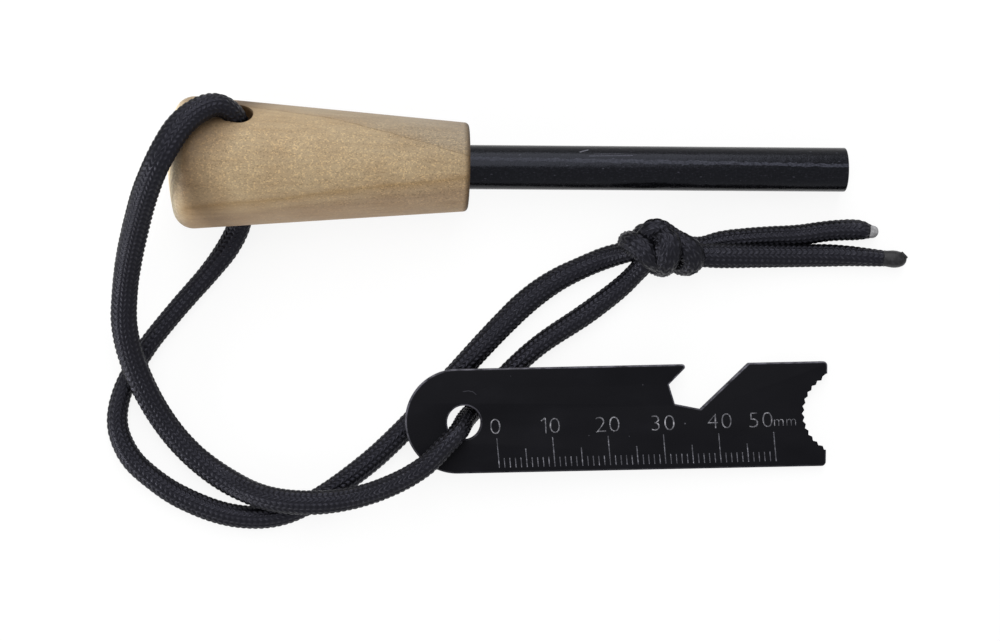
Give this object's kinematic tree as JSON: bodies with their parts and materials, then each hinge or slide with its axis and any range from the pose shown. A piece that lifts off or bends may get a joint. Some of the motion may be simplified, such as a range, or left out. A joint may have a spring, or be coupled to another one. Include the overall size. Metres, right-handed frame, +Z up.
{
  "type": "ferro rod fire starter",
  "caption": "Wooden-handled ferrocerium rod with a flat steel striker on a knotted cord lanyard.",
  "frame": {"origin": "on the surface the object lies on, under the middle of the box round handle, rod and striker", "axes": "+X from the handle to the rod's tip, +Y from the striker towards the rod, +Z up"},
  "size_m": [0.1446, 0.077, 0.027],
  "materials": {
    "turned_wood": "turned and oiled",
    "cured_adhesive": "cured epoxy",
    "coated_rod": "black coated ferrocerium, satin",
    "black_steel": "black coated steel, satin",
    "black_cord": "braided nylon",
    "grey_melted_nylon": "melted nylon core",
    "black_melted_nylon": "melted nylon"
  },
  "bodies": {
    "handle_and_lanyard": {"wooden_handle": "turned_wood", "adhesive_cup": "cured_adhesive", "ferrocerium_rod": "coated_rod", "lanyard_loop": "black_cord", "lanyard_knot": "black_cord", "lanyard_tail_upper": "black_cord", "lanyard_tail_lower": "black_cord", "melted_tip_upper": "grey_melted_nylon", "melted_tip_lower": "black_melted_nylon"},
    "striker": {"striker_plate": "black_steel"}
  },
  "joints": [
    {"name": "striker_swing", "type": "hinge", "parent": "handle_and_lanyard", "child": "striker", "pos_m": [-0.0082, -0.02393, 0.00586], "axis": [0, 0, 1], "range_deg": [-100, 5]}
  ]
}
